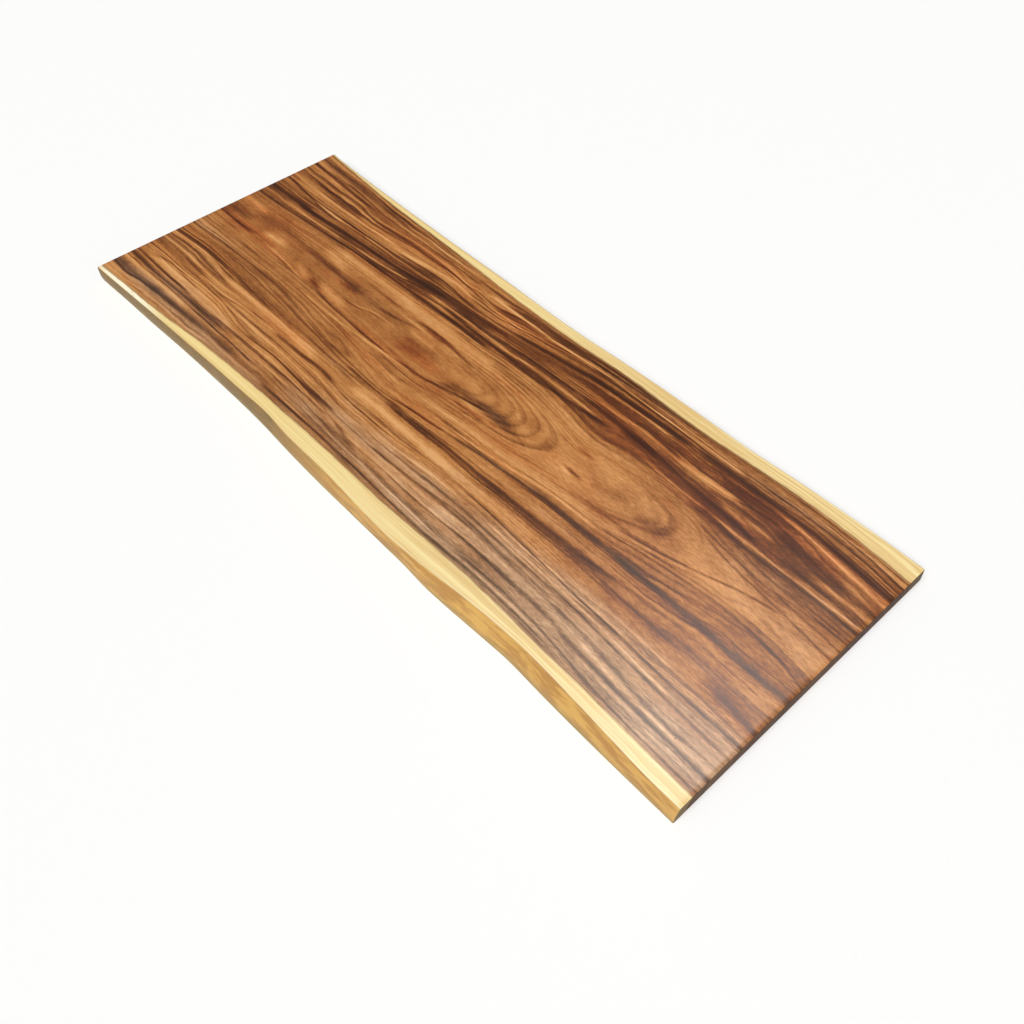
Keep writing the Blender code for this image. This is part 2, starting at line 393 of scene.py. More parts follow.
    (-22, 0, 3, {1220: 173, 1400: 168, 1550: 163, 1650: 156, 1780: 147}),
)
# Over how much of its length a streak fades in and out: this far, or this share of a short one.
STREAK_FADE = 0.05
SHORT_FADE = 0.4
# How much a streak's darkness waves along it, and the product of waves that it follows: (turn
# per metre, shift from one streak to the next).
STREAK_SWING = 0.22
STREAK_WAVES = ((37, 1.7), (13, 1.0))

# Between these distances from the pith line the growth layers come to show as clear stripes.
OUTER_WOOD = (0.06, 0.14)

# Arcs where a layer closes over the pith line: (how far along its tip is, darkness, width across
# the layers). Each darkens slowly from within and has a sharp outer side.
ARCS = (
    (960, 8, 5), (1010, 12, 5), (1050, 16, 4.5), (1085, 18, 4), (1125, 24, 5), (1178, 30, 7),
    (1410, 8, 3), (1465, 12, 3), (1512, 22, 3.6),
)
ARC_OUTER_SIDE = 0.0022
# The arcs fade out between these distances from the pith line.
ARC_REACH = (0.060, 0.120)
# The stretches of the pith line with arcs, and how gradually they appear along it.
ARC_STRETCHES = ((0.80, 1.20), (1.34, 1.53))
ARC_FADE = 0.08
# The arcs' ramp runs over the layers from 0 to this one.
ARC_LAYERS = 0.20

# Soft regions of another tone: (along, across, reach along, reach across, darkness, redness).
REGIONS = (
    (250, 527, 400, 50, 13, 0), (800, 556, 380, 45, 13, 0), (600, 625, 350, 25, -7, -10),
    (860, 670, 120, 18, -8, -40), (1740, 668, 240, 16, -6, 0), (360, 553, 200, 16, -9, 0),
    (920, 510, 170, 17, -8, -30), (280, 440, 160, 50, -7, -30), (500, 350, 130, 50, 5, 25),
    (860, 312, 100, 14, -5, -20), (1280, 272, 280, 13, -12, -70), (1150, 213, 320, 13, -9, -20),
    (670, 232, 110, 17, -8, -60), (1060, 190, 140, 18, 13, 20), (730, 105, 260, 27, 7, 10),
    (240, 68, 180, 17, -7, -20), (820, 640, 180, 35, -9, 0), (1210, 636, 340, 60, 20, 0),
    (1610, 628, 110, 20, 30, 40), (1580, 551, 180, 16, 20, 50), (1800, 640, 220, 30, 6, 0),
    (1450, 628, 120, 22, -10, 20), (1620, 600, 320, 80, 0, 30), (1780, 575, 220, 35, 8, 0),
    (380, 672, 450, 32, 7, 0), (1520, 545, 450, 45, 16, 10), (1760, 503, 200, 26, 12, -80),
    (1500, 685, 500, 18, -2, -90), (750, 482, 500, 24, -12, 0), (1250, 450, 350, 60, -17, -30),
    (1365, 432, 70, 26, 14, -30), (480, 370, 150, 30, 4, 0), (1050, 385, 70, 16, 8, -30),
    (1480, 428, 30, 20, 10, -30), (1220, 395, 60, 30, -10, 0), (1780, 415, 220, 60, -2, -20),
    (100, 400, 180, 50, 2, 50), (300, 440, 200, 30, 5, 40), (750, 370, 300, 60, 0, 20),
    (1120, 345, 220, 45, -15, 0), (760, 290, 250, 30, -6, 0), (200, 285, 350, 30, 3, -40),
    (480, 280, 150, 35, 5, 10), (1620, 285, 300, 25, 7, 20), (1820, 270, 200, 30, 5, -30),
    (600, 190, 550, 50, -5, -30), (150, 190, 200, 40, 1, 10), (1050, 195, 300, 50, -9, 10),
    (1800, 340, 240, 110, 7, -20), (1750, 115, 400, 90, 1, -170), (1420, 100, 200, 80, 5, 0),
    (1300, 62, 350, 18, 2, -130), (1780, 55, 220, 22, -2, -90), (1420, 85, 250, 45, -3, -20),
    (1150, 85, 450, 50, -2, -90), (1180, 155, 380, 55, -5, -100), (150, 125, 400, 45, -10, -10),
    (500, 110, 350, 35, -7, -60), (280, 44, 380, 28, 12, -100), (120, 92, 250, 12, 6, -40),
    (720, 70, 300, 28, 6, -50), (100, 4, 180, 18, -44, 0), (80, 45, 140, 28, 3, -50),
    (1800, 20, 300, 25, 6, 0), (1000, 20, 450, 20, -9, 0), (1280, 725, 200, 30, 7, 0),
)

# Soft regions where the lines fade and the wood is cloudy: (along, across, reach along, reach
# across, how calm). Where the calm is negative, the lines are livelier.
CALM_REGIONS = (
    (200, 390, 420, 80, 80), (700, 420, 300, 70, 50), (1330, 430, 180, 70, 100),
    (1010, 410, 170, 55, 100), (1600, 430, 100, 50, 70), (1800, 420, 200, 60, 50),
    (1760, 505, 220, 28, 60), (1720, 335, 250, 32, 55), (620, 265, 220, 22, 60),
    (850, 205, 250, 22, 50), (450, 207, 250, 14, 50), (1000, 90, 300, 50, 45),
    (1600, 110, 400, 70, 85), (1520, 262, 420, 32, 85), (1600, 215, 350, 20, 75),
    (1720, 590, 250, 32, 60), (450, 100, 350, 40, 35), (950, 270, 220, 30, 35),
    (600, 640, 600, 40, -20), (1400, 625, 380, 50, -30),
)

# Pin knots on the top: (along, across, radius, darkness).
KNOTS = (
    (1825, 92, 2.6, 50), (130, 6, 5, 30), (142, 3, 4, 26),
)

# The wood's palettes in linear colour at these tones, from its palest golden brown to its
# darkest streak: as it mostly is, and where it is greyest. Where it is reddest, the first one is
# multiplied by REDDER.
PALETTE_TONES = (0.00, 0.16, 0.36, 0.50, 0.64, 0.80, 1.00)
HEART_PALETTE = (
    (0.715, 0.364, 0.134), (0.57, 0.249, 0.074), (0.385, 0.146, 0.036), (0.250, 0.083, 0.019),
    (0.136, 0.040, 0.010), (0.077, 0.022, 0.0052), (0.042, 0.012, 0.003),
)
GREY_PALETTE = (
    (0.80, 0.535, 0.335), (0.655, 0.415, 0.245), (0.45, 0.268, 0.143), (0.305, 0.174, 0.088),
    (0.188, 0.104, 0.054), (0.110, 0.061, 0.033), (0.065, 0.034, 0.020),
)
REDDER = (1.08, 0.86, 0.80)
SAP_CREAM = (0.93, 0.76, 0.38)
# SAP_PALE is also the colour of the painted highlight along the live edges.
SAP_PALE = (1.0, 0.92, 0.68)
SAP_GOLD = (0.92, 0.73, 0.31)
# SAP_SHADE is also the colour of the painted shade beside the live edges.
SAP_SHADE = (0.72, 0.47, 0.17)
SAP_BORDER = (0.30, 0.15, 0.055)
EDGE_OCHRE = (0.62, 0.36, 0.090)
EDGE_GOLD = (0.44, 0.22, 0.055)
# Olive, which also serves as painted shade over the far part of the live edges.
EDGE_OLIVE_AND_SHADE = (0.195, 0.120, 0.036)
EDGE_GREY = (0.33, 0.26, 0.12)
END_BROWN = (0.062, 0.026, 0.011)
FLOOR_COLOUR = (0.93, 0.93, 0.92)

# Noises drawn out along the grain: (width across the layers, length along the grain, width over
# which they change across the slab, detail, roughness).
BANDS = (0.03, 1.6, 0.3, 2.0, 0.5)
LINES = (0.011, 1.9, 0.16, 3.0, 0.55)
FINE_LINES = (0.0032, 0.3, 0.08, 2.0, 0.5)
FLAMES = (0.034, 1.0, 0.2, 1.5, 0.5)
DARK_VEINS = (0.018, 1.5, 0.2, 2.0, 0.5)
PALE_VEINS = (0.014, 1.1, 0.18, 2.0, 0.5)
RING_PATCHES = (0.02, 0.5, 0.2, 2.0, 0.5)
VEIN_PATCHES = (0.016, 0.45, 0.2, 2.0, 0.5)
HUE_PATCHES = (0.03, 0.35, 0.3, 1.0, 0.5)
SAP_LINES = (0.004, 0.35, 0.2, 3.0, 0.5)
FIBRES = (0.0012, 0.03, 0.05, 2.0, 0.6)
# Noises that heed no layer: (width across the slab, length along it, detail).
WANDER = (0.08, 0.18, 2.0)
TREMBLE = (0.02, 0.06, 1.0)
CLOUD = (0.045, 0.090, 3.0)
PORES = (0.0018, 0.013, 1.0)
BORDER_WAVES = (0.004, 0.03, 2.0)
# Noises on the live edges: (length along, height, detail, roughness).
EDGE_PATCHES = (0.09, 0.015, 3.0, 0.6)
EDGE_FIBRES = (0.05, 0.0022, 2.0, 0.5)

# How far the layers wander, and how far they tremble in the outer wood.
WANDER_SHIFT = 0.017
TREMBLE_SHIFT = 0.0024

# The growth rings: how far apart they lie in the heartwood and the sapwood, over what distance
# their widths change, and by how many rings. Each ring rises to its full tone and falls back at
# these shares of its width.
RING_SPACING = 0.0125
SAP_RING_SPACING = 0.0085
RING_CHANGE = 0.022
RING_SPREAD = 3.0
RING_RISE = (0.05, 0.88)
RING_FALL = (1.0, 0.90)
# How many rises like a ring's the flames have over the range of their noise.
FLAME_RINGS = 9.0
# The level that each kind of vein follows in its noise, and its width in the noise.
DARK_VEIN = (0.5, 0.080)
PALE_VEIN = (0.42, 0.050)

# Below, four numbers are a smooth step: (start, end, what it gives before, what it gives after),
# which goes from 0 to 1 where there are two. The pairs OUTER_RINGS, OUTER_FINE_GAIN, CALM_FADE,
# OUTER_GAIN, BOLD_GAIN, CLOUD_GAIN, HUE_GAIN, BORDER_SHIFT and ROUGHNESS are (gain, start).

# How strongly each pattern marks the heartwood, and the middle value that leaves its tone alone.
RING_GAIN = (0.36, 0.62, 0.04, 0.18)
OUTER_RINGS = (0.6, 0.4)
RING_MIDDLE = 0.4
FLAME_GAIN = 0.06
BAND_GAIN = 0.36
LINE_GAIN = 0.44
OUTER_FINE_GAIN = (0.24, 0.22)
NOISE_MIDDLE = 0.5
DARK_VEIN_GAIN = (0.34, 0.62, 0.06, 0.36)
DARK_VEIN_MIDDLE = 0.30
PALE_VEIN_GAIN = -0.12
PALE_VEIN_MIDDLE = 0.18
# How the patterns fade in calm wood and under the placed streaks, and gain in the outer wood.
CALM_FADE = (-0.88, 1.0)
PLACED_FADE = (0.06, 0.40, 1.0, 0.40)
OUTER_GAIN = (0.50, 0.85)
# How the placed streaks gain where the lines are bold.
BOLD_LINES = (0.36, 0.64)
BOLD_GAIN = (0.6, 1.1)
# The pores' gain along the slab, and the cloud's by how calm the wood is.
PORE_GAIN = (0.6, 1.5, 0.42, 0.68)
CLOUD_GAIN = (0.50, 0.27)
# The tone of plain wood, and the contrast of the whole.
PLAIN_TONE = 0.46
CONTRAST = 0.8
# The hue: red above 0 and grey below it.
HUE_GAIN = (1.8, -0.75)
CLOUD_HUE = 1.0
RED_HUES = (0.0, 1.0)
GREY_HUES = (0.0, -2.2, 0.0, 0.85)

# The sapwood: its ragged border, its lines and rings, the golden far part, painted shade beside the
# live edges over the far part of the slab, a painted highlight along them that is strongest over
# the near part, and the placed pale spots.
BORDER_SHIFT = (0.006, -0.003)
BORDER_STEP = (-0.0075, -0.0005, 0.0, 0.75)
SAP_STEP = (-0.0022, 0.0036)
SAP_MARK_GAIN = 1.2
SAP_LINE_SHADE = (0.35, 0.72, 0.0, 0.8)
SAP_RING_SHADE = 0.35
GOLD_ALONG = (1.3, 0.4, 0.0, 0.6)
# Painted shade: the sapwood darkens towards the live edges over the far part of the slab.
PAINTED_SHADE_INWARD = (0.014, 0.001)
PAINTED_SHADE_ALONG = (1.1, 0.6, 0.0, 0.55)
# Painted highlight: the sapwood pales right at the live edges, most over the near part.
PAINTED_HIGHLIGHT_INWARD = (0.006, 0.002)
PAINTED_HIGHLIGHT_ALONG = (0.9, 1.4, 0.1, 0.4)
PALE_MARKS = (-0.10, -0.40)

# The live edges: where they start, and their golden, olive and grey patches and golden fibres. The
# olive over the far part of each live edge is partly its own colour and partly painted shade.
EDGE_STEP = (0.0034, 0.0004)
GOLD_PATCHES = (0.42, 0.58)
OLIVE_AND_SHADE_WAVES = 0.5
OLIVE_AND_SHADE_ALONG = (1.25, 0.85)
GREY_WAVES = -0.012
GREY_HEIGHT = (0.012, -0.002, 0.0, 0.7)
GOLD_FIBRES = (0.4, 0.75, 0.0, 0.45)

# The sawn ends: how far a face turns endwise to be one, and how dark they are across the slab.
END_STEP = (0.6, 0.9)
END_DARKNESS = (0.1, 0.6, 0.80, 0.92)

# The oiled surface: its roughness over the fibres, what the live edges and ends add to it, its
# gloss, and the height of its fibres.
ROUGHNESS = (0.16, 0.32)
EDGE_ROUGHER = 0.18
END_ROUGHER = 0.45
GLOSS = 0.45
FIBRE_STRENGTH = 0.25
FIBRE_HEIGHT = 0.0004

FLOOR_REACH = 30.0
FLOOR_GAP = 0.0004
FLOOR_ROUGHNESS = 0.9

# The lamps: the room's own light, daylight from the left and a window beyond the slab, which
# glances off the near left quarter of the top.
ROOM_STRENGTH = 0.16
DAYLIGHT_PLACE = (0.9, -2.2, 4.0)
DAYLIGHT_STRENGTH = 3.3
DAYLIGHT_SPREAD = math.radians(45)
WINDOW_PLACE = (0.35, 0.89, 2.55)
WINDOW_TARGET = (0.96, -0.43, THICKNESS)
WINDOW_SIZE = 0.8
WINDOW_SPREAD = math.radians(32)
WINDOW_POWER = 2.0

CAMERA_PLACE = (1.2765, -1.1276, 1.8126)
CAMERA_RIGHT = (0.68453, 0.72852, 0.02571)
CAMERA_UP = (-0.58394, 0.52689, 0.61757)
CAMERA_BACK = (0.43638, -0.43776, 0.78608)
CAMERA_LENS = 37.887
CAMERA_SENSOR = 36.0


def hermite(t, span, start, end, start_slope, end_slope):
    """A cubic over a span with these values and slopes at its ends, read at the share t of it."""
    return (
        (2 * t**3 - 3 * t**2 + 1) * start
        + (t**3 - 2 * t**2 + t) * span * start_slope
        + (3 * t**2 - 2 * t**3) * end
        + (t**3 - t**2) * span * end_slope
    )


def smooth_line(line, along):
    """A table's line, read at the distances along in metres, and level past its two ends."""
    place, across = np.array(list(line.items())).T / MM
    along = np.clip(along, place[0], place[-1])
    slope = np.gradient(across, place)
    first = np.clip(np.searchsorted(place, along) - 1, 0, len(place) - 2)
    last = first + 1
    span = place[last] - place[first]
    t = (along - place[first]) / span
    return hermite(t, span, across[first], across[last], slope[first], slope[last])


def smooth_step(value, start, end):
    """0 before start, 1 after end and a smooth rise between them."""
    t = np.clip((value - start) / (end - start), 0.0, 1.0)
    return t * t * (3 - 2 * t)


def to_along(x):
    """The distance along of a place in the frame."""
    return x - LOW.x - GUIDE_START


def to_across(y):
    """The distance across of a place in the frame."""
    return y - LOW.y - DATUM_IN


def to_y(across):
    """The frame's y of a distance across."""
    return across + LOW.y + DATUM_IN


class Flanks:
    """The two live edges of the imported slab, read at rows of stations and heights."""

    def __init__(self, node):
        mesh = node.data
        points = [v.co.copy() for v in mesh.vertices]
        tree = BVHTree.FromPolygons(points, [tuple(p.vertices) for p in mesh.polygons])
        self.x = np.linspace(LOW.x, HIGH.x, STATIONS)
        self.z = np.linspace(THICKNESS - TOP_ARRIS, BOTTOM_ARRIS, FLANK_LEVELS)
        self.y = {}
        for side in (LEFT, RIGHT):
            inward = Vector((0, -side, 0))
            rows = []
            for x in np.clip(self.x, LOW.x + RAY_INSET, HIGH.x - RAY_INSET):
                hits = [tree.ray_cast(Vector((x, side * RAY_START, z)), inward) for z in self.z]
                rows.append([hit[0].y for hit in hits])
            self.y[side] = np.array(rows)

    def read(self, side, x, z):
        """A live edge's y at places (x, z), straight between the stations and heights."""
        table = self.y[side]
        i = np.clip((x - self.x[0]) / (self.x[1] - self.x[0]), 0, len(self.x) - INSIDE_LAST)
        k = np.clip((self.z[0] - z) / (self.z[0] - self.z[1]), 0, len(self.z) - INSIDE_LAST)
        a, b = i.astype(int), k.astype(int)
        s, t = i - a, k - b
        near = table[a, b] * (1 - t) + table[a, b + 1] * t
        far = table[a + 1, b] * (1 - t) + table[a + 1, b + 1] * t
        return near * (1 - s) + far * s

    def top(self, side, x):
        """The across of a live edge's upper line."""
        return to_across(self.read(side, x, np.full_like(x, THICKNESS)))


class Layers:
    """The tree's growth layers, from the guide lines and the pith line."""

    def __init__(self, flanks):
        self.flanks = flanks

    def guides(self, x, side):
        """How far each guide and the live edge of one side lie from the pith line, and their layers."""
        along = to_along(x)
        pith = smooth_line(PITH_LINE, along)
        away = [side * (smooth_line(line, along) - pith) for line in GUIDES[side].values()]
        away.append(side * (self.flanks.top(side, x) - pith))
        return np.stack(away, axis=1), np.array([*GUIDES[side], EDGE_LAYER[side]]) / MM

    def columns(self, x):
        """The across of each top column at each station: along the layers, evenly in the middle."""
        pith = smooth_line(PITH_LINE, to_along(x))
        inner = np.linspace(0.0, 1.0, INNER_COLUMNS + 1)[:-1]
        halves = {}
        for side, count in OUTER_COLUMNS.items():
            away, layers = self.guides(x, side)
            wanted = np.linspace(layers[0], layers[-1], count + 1)
            outer = np.array([np.interp(wanted, layers, row) for row in away])
            halves[side] = pith[:, None] + side * np.hstack((outer[:, :1] * inner, outer))
        return np.hstack((halves[LEFT][:, :0:-1], halves[RIGHT]))

    def layer_at(self, x, side, squared):
        """The layer that shows where the squared distance from the pith line is this."""
        away, layers = self.guides(x, side)
        pith_layer = smooth_line(PITH_LAYER, to_along(x))
        first, first_layer = away[:, 0], layers[0]
        bend = (first_layer**ARC_POWER - pith_layer**ARC_POWER) / first**ARC_POWER
        out = np.sqrt(np.maximum(squared, 0.0))
        rise = np.diff(layers) / np.diff(away, axis=1)
        slope = np.empty_like(away)
        slope[:, 0] = bend * (first / first_layer) ** (ARC_POWER - 1)
        slope[:, 0] = np.minimum(slope[:, 0], STEEPEST * rise[:, 0])
        slope[:, 1:-1] = 2 * rise[:, 1:] * rise[:, :-1] / (rise[:, 1:] + rise[:, :-1])
        slope[:, -1] = rise[:, -1]
        index = np.clip((out[:, None] > away).sum(axis=1) - 1, 0, len(layers) - 2)
        here = (np.arange(len(x)), index)
        following = (here[0], index + 1)
        span = away[following] - away[here]
        t = np.clip((out - away[here]) / span, 0.0, PAST_EDGE)
        outer = hermite(t, span, layers[index], layers[index + 1], slope[here], slope[following])
        middle = (pith_layer**ARC_POWER + bend * out**ARC_POWER) ** (1 / ARC_POWER)
        below = pith_layer * np.exp(PITH_CURVE * np.minimum(squared, 0.0))
        return np.where(squared < 0, below, np.where(out < first, middle, outer))

    def at(self, x, y, z):
        """For places in the slab: the layer, and the across at which that layer shows on top."""
        across = to_across(y)
        pith = smooth_line(PITH_LINE, to_along(x))
        is_left = across < pith
        flanks = self.flanks
        top_edge = np.where(is_left, flanks.top(LEFT, x), flanks.top(RIGHT, x))
        top_edge = np.abs(top_edge - pith)
        edge = np.where(is_left, flanks.read(LEFT, x, z), flanks.read(RIGHT, x, z))
        edge = np.abs(to_across(edge) - pith)
        away = np.abs(across - pith)
        depth = THICKNESS - z
        outness = np.clip(away / edge, 0.0, 1.0) ** 2
        squared = (away - (edge - top_edge) * outness) ** 2
        squared = squared - (2 * PITH_DEPTH * depth - depth**2) * (1 - outness)
        layer = np.where(is_left, self.layer_at(x, LEFT, squared), self.layer_at(x, RIGHT, squared))
        off = np.sqrt(np.maximum(squared, (UNDER_SPREAD * away) ** 2))
        return layer, pith + np.where(is_left, LEFT, RIGHT) * off


def flank_relief(x, z, side):
    """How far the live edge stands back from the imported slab: shallow hollows and fine ridges."""
    seed = FLANK_SEED[side]
    along, up, depth = HOLLOWS
    hollows = depth * (1 + noise.noise(Vector((x * along + seed, z * up, seed))))
    along, up, depth = RIDGES
    return hollows + depth * (1 + noise.noise(Vector((x * along, z * up, seed + RIDGE_SEED))))


def arc_steps(radius):
    """How far in and how far down each point of an arris lies, from flat to upright."""
    angles = [math.pi / 2 * k / ARRIS_STEPS for k in range(ARRIS_STEPS + 1)]
    return [(radius * (1 - math.sin(a)), radius * (1 - math.cos(a))) for a in angles]


def flank_points(edge, x, side):
    """One live edge in section, from the top arris down to the bottom one, as (y, z) pairs."""
    levels = np.linspace(THICKNESS - TOP_ARRIS, BOTTOM_ARRIS, FLANK_LEVELS)
    y = []
    for place, z in zip(edge, levels):
        share = math.sin(math.pi * (THICKNESS - z) / THICKNESS)
        y.append(place - side * flank_relief(x, z, side) * share)
    points = []
    for inward, down in arc_steps(TOP_ARRIS)[:-1]:
        points.append((y[0] - side * inward, THICKNESS - down))
    points += list(zip(y, levels))
    for inward, down in arc_steps(BOTTOM_ARRIS)[-2::-1]:
        points.append((y[-1] - side * inward, down))
    return points


def slab_sections(flanks, layers):
    """Points of every section: rows of top, right flank, underside and left flank places."""
    columns = to_y(layers.columns(flanks.x))
    under_share = (columns - columns[:, :1]) / (columns[:, -1:] - columns[:, :1])
    under_share = under_share[:, ::COLUMNS_PER_UNDER]
    sections = []
    for i, x in enumerate(flanks.x):
        left = flank_points(flanks.y[LEFT][i], x, LEFT)
        right = flank_points(flanks.y[RIGHT][i], x, RIGHT)
        top = np.clip(columns[i], left[0][0], right[0][0])
        top[0], top[-1] = left[0][0], right[0][0]
        under = left[-1][0] + under_share[i] * (right[-1][0] - left[-1][0])
        outline = [(y, THICKNESS) for y in top]
        outline += right[1:-1]
        outline += [(y, 0.0) for y in under[::-1]]
        outline += left[-2:0:-1]
        sections.append(outline)
    return np.array(sections)


def slab_points(flanks, layers):
    """The sections in space, with the ends' arrises eased: an array of rows of points."""
    sections = slab_sections(flanks, layers)
    middle = np.array([(LOW.y + HIGH.y) / 2, THICKNESS / 2])

    def shrunk(section, by):
        half = np.array([(section[:, 0].max() - section[:, 0].min()) / 2, THICKNESS / 2])
        return middle + (section - middle) * (1 - by / half)

    full, small = END_ARRIS
    rows = [(LOW.x, shrunk(sections[0], full)), (LOW.x + small, shrunk(sections[0], small))]
    rows.append((LOW.x + full, sections[0]))
    rows += list(zip(flanks.x[1:-1], sections[1:-1]))
    rows.append((HIGH.x - full, sections[-1]))
    rows.append((HIGH.x - small, shrunk(sections[-1], small)))
    rows.append((HIGH.x, shrunk(sections[-1], full)))
    return np.array([np.column_stack((np.full(len(s), x), s)) for x, s in rows])


def end_faces(places, outline, base):
    """The faces over a sawn end, whose outline's points are numbered from base.

    They lie in rows from the top down. The points inside the outline are added to the places."""
    top = outline[:TOP_COUNT, 1]
    share = (top - top[0]) / (top[-1] - top[0])
    above = [base + j for j in range(TOP_COUNT)]
    faces = []
    for level in range(FLANK_COUNT):
        left = len(outline) - 1 - level
        right = TOP_COUNT + level
        row = [base + left]
        for s in share[1:-1]:
            row.append(len(places))
            places.append(tuple(outline[left] + (outline[right] - outline[left]) * s))
        row.append(base + right)
        faces += [(above[j], above[j + 1], row[j + 1], row[j]) for j in range(TOP_COUNT - 1)]
        above = row
    last_under = base + TOP_COUNT + FLANK_COUNT + UNDER_COUNT - 1
    for k in range(UNDER_COUNT - 1):
        j = k * COLUMNS_PER_UNDER
        a, b, c, d = above[j : j + COLUMNS_PER_UNDER + 1]
        here = last_under - k
        faces += [(a, b, here), (b, c, here - 1, here), (c, d, here - 1)]
    return faces


def slab_faces(points):
    """Joins the rows into a closed skin, with a grid of points over each end.

    Gives all the points, the faces and each face's part: top, right, under, left or end."""
    row_count, loop = points.shape[:2]
    places = [tuple(p) for p in points.reshape(-1, 3)]
    faces = []
    for r in range(row_count - 1):
        a, b = r * loop, (r + 1) * loop
        for j in range(loop):
            k = (j + 1) % loop
            faces.append((a + j, b + j, b + k, a + k))
    ring = ["top"] * (TOP_COUNT - 1) + ["right"] * (FLANK_COUNT + 1)
    ring += ["under"] * (UNDER_COUNT - 1) + ["left"] * (FLANK_COUNT + 1)
    parts = ring * (row_count - 1)
    far = end_faces(places, points[0], 0)
    near = end_faces(places, points[-1], (row_count - 1) * loop)
    faces += far + [face[::-1] for face in near]
    parts += ["end"] * (len(far) + len(near))
    return np.array(places), faces, parts


def soft_spot(along, across, spot):
    """1 in the middle of a table's soft oval region and falling to 0 round it."""
    x, y, reach_x, reach_y = np.array(spot) / MM
    return np.exp(-(((along - x) / reach_x) ** 2) - ((across - y) / reach_y) ** 2)


def streak_fields(along, across):
    """Darkness and redness of the listed streaks and regions at each place."""
    dark = np.zeros_like(along)
    red = np.zeros_like(along)
    for number, (darkness, redness, width, line) in enumerate(STREAKS):
        start, end = min(line) / MM, max(line) / MM
        fade = min(STREAK_FADE, SHORT_FADE * (end - start))
        near = (along > start - fade) & (along < end + fade)
        place = along[near]
        off = across[near] - smooth_line(line, place)
        body = np.exp(-((off * MM / width) ** 2))
        if min(line) > 0:
            body *= smooth_step(place, start, start + fade)
        if max(line) < GUIDE_END:
            body *= 1 - smooth_step(place, end - fade, end)
        swing = STREAK_SWING
        for turns, shift in STREAK_WAVES:
            swing = swing * np.sin(place * turns + number * shift)
        dark[near] += darkness / PERCENT * body * (1 + swing)
        red[near] += redness / PERCENT * body
    for *spot, darkness, redness in REGIONS:
        share = soft_spot(along, across, spot)
        dark += darkness / PERCENT * share
        red += redness / PERCENT * share
    return dark, red


def arc_field(along, off_pith):
    """How clearly the arcs show at each place, from 0 to 1."""
    near = 1 - smooth_step(np.abs(off_pith), *ARC_REACH)
    shown = np.zeros_like(along)
    for start, end in ARC_STRETCHES:
        begun = smooth_step(along, start, start + ARC_FADE)
        shown += begun * (1 - smooth_step(along, end, end + ARC_FADE))
    return near * shown


def arc_stops():
    """The arcs as a ramp over the layers: each rises slowly from within and ends at once."""
    stops = [(0.0, (0.0, 0.0, 0.0))]
    for tip, darkness, width in ARCS:
        layer = smooth_line(PITH_LAYER, np.array([tip / MM]))[0]
        marks = ((layer - width / MM, 0), (layer, darkness), (layer + ARC_OUTER_SIDE, 0))
        stops += [(place / ARC_LAYERS, (level / PERCENT,) * 3) for place, level in marks]
    return stops


def calm_field(along, across):
    """How far the lines fade at each place: 1 is fully, and below 0 they are livelier."""
    calm = sum(how / PERCENT * soft_spot(along, across, spot) for *spot, how in CALM_REGIONS)
    return np.minimum(calm, 1.0)


def grain_fields(flanks, layers, places):
    """What the finish reads at each point: its place in the grain, its marks and its distances."""
    x, y, z = places.T
    layer, shows = layers.at(x, y, z)
    along = to_along(x)
    off_pith = shows - smooth_line(PITH_LINE, along)
    reach = off_pith / FAN_REACH
    fan = (np.hypot(reach, FAN_TIP) - FAN_TIP) * np.exp(-np.abs(reach) / FAN_TAIL)
    fan *= smooth_line(PITH_FAN, along) * FAN_REACH
    split = smooth_line(PITH_SPLIT, along) * SPLIT_TURN * np.tanh(off_pith / SPLIT_REACH)
    dark, red = streak_fields(along, shows)
    left_sap = smooth_line(GUIDES[LEFT][SAP_LAYER[LEFT]], along) - shows
    right_sap = shows - smooth_line(GUIDES[RIGHT][SAP_LAYER[RIGHT]], along)
    return {
        "grain": np.column_stack((layer + fan, along, shows + split)),
        "shows": shows,
        "dark": dark,
        "red": red,
        "calm": calm_field(along, shows),
        "arcs": arc_field(along, off_pith),
        "outer": smooth_step(np.abs(off_pith), *OUTER_WOOD),
        "sap": np.maximum(left_sap, right_sap),
        "inside": np.minimum(y - flanks.read(LEFT, x, z), flanks.read(RIGHT, x, z) - y),
    }


def add_attribute(mesh, name, values):
    """Stores one number, or three, for each point of the mesh."""
    kind, field = ("FLOAT", "value") if values.ndim == 1 else ("FLOAT_VECTOR", "vector")
    attribute = mesh.attributes.new(name, kind, "POINT")
    attribute.data.foreach_set(field, values.astype(np.float32).ravel())


def lay_out_map(mesh, parts):
    """Maps each part of the skin to its own strip of the square, the top to the widest one."""
    places = np.array([v.co for v in mesh.vertices])[[loop.vertex_index for loop in mesh.loops]]
    part_of_loop = np.repeat(parts, [face.loop_total for face in mesh.polygons])
    along = (places[:, 0] - LOW.x) / LENGTH
    across = (places[:, 1] - LOW.y) / (HIGH.y - LOW.y)
    height = places[:, 2] / THICKNESS
    uv = np.zeros((len(places), 2))
    for part, (low, high) in MAP_STRIPS.items():
        mine = part_of_loop == part
        rise = across if part in ("top", "under") else height
        uv[mine, 0] = MAP_MARGIN + (1 - 2 * MAP_MARGIN) * along[mine]
        uv[mine, 1] = low + (high - low) * rise[mine]
    mine = part_of_loop == "end"
    half = np.where(along[mine] > 0.5, 0.5, 0.0)
    uv[mine, 0] = half + MAP_MARGIN + (0.5 - 2 * MAP_MARGIN) * across[mine]
    layer = mesh.uv_layers.new(name="OFBake")
    layer.data.foreach_set("uv", uv.ravel())


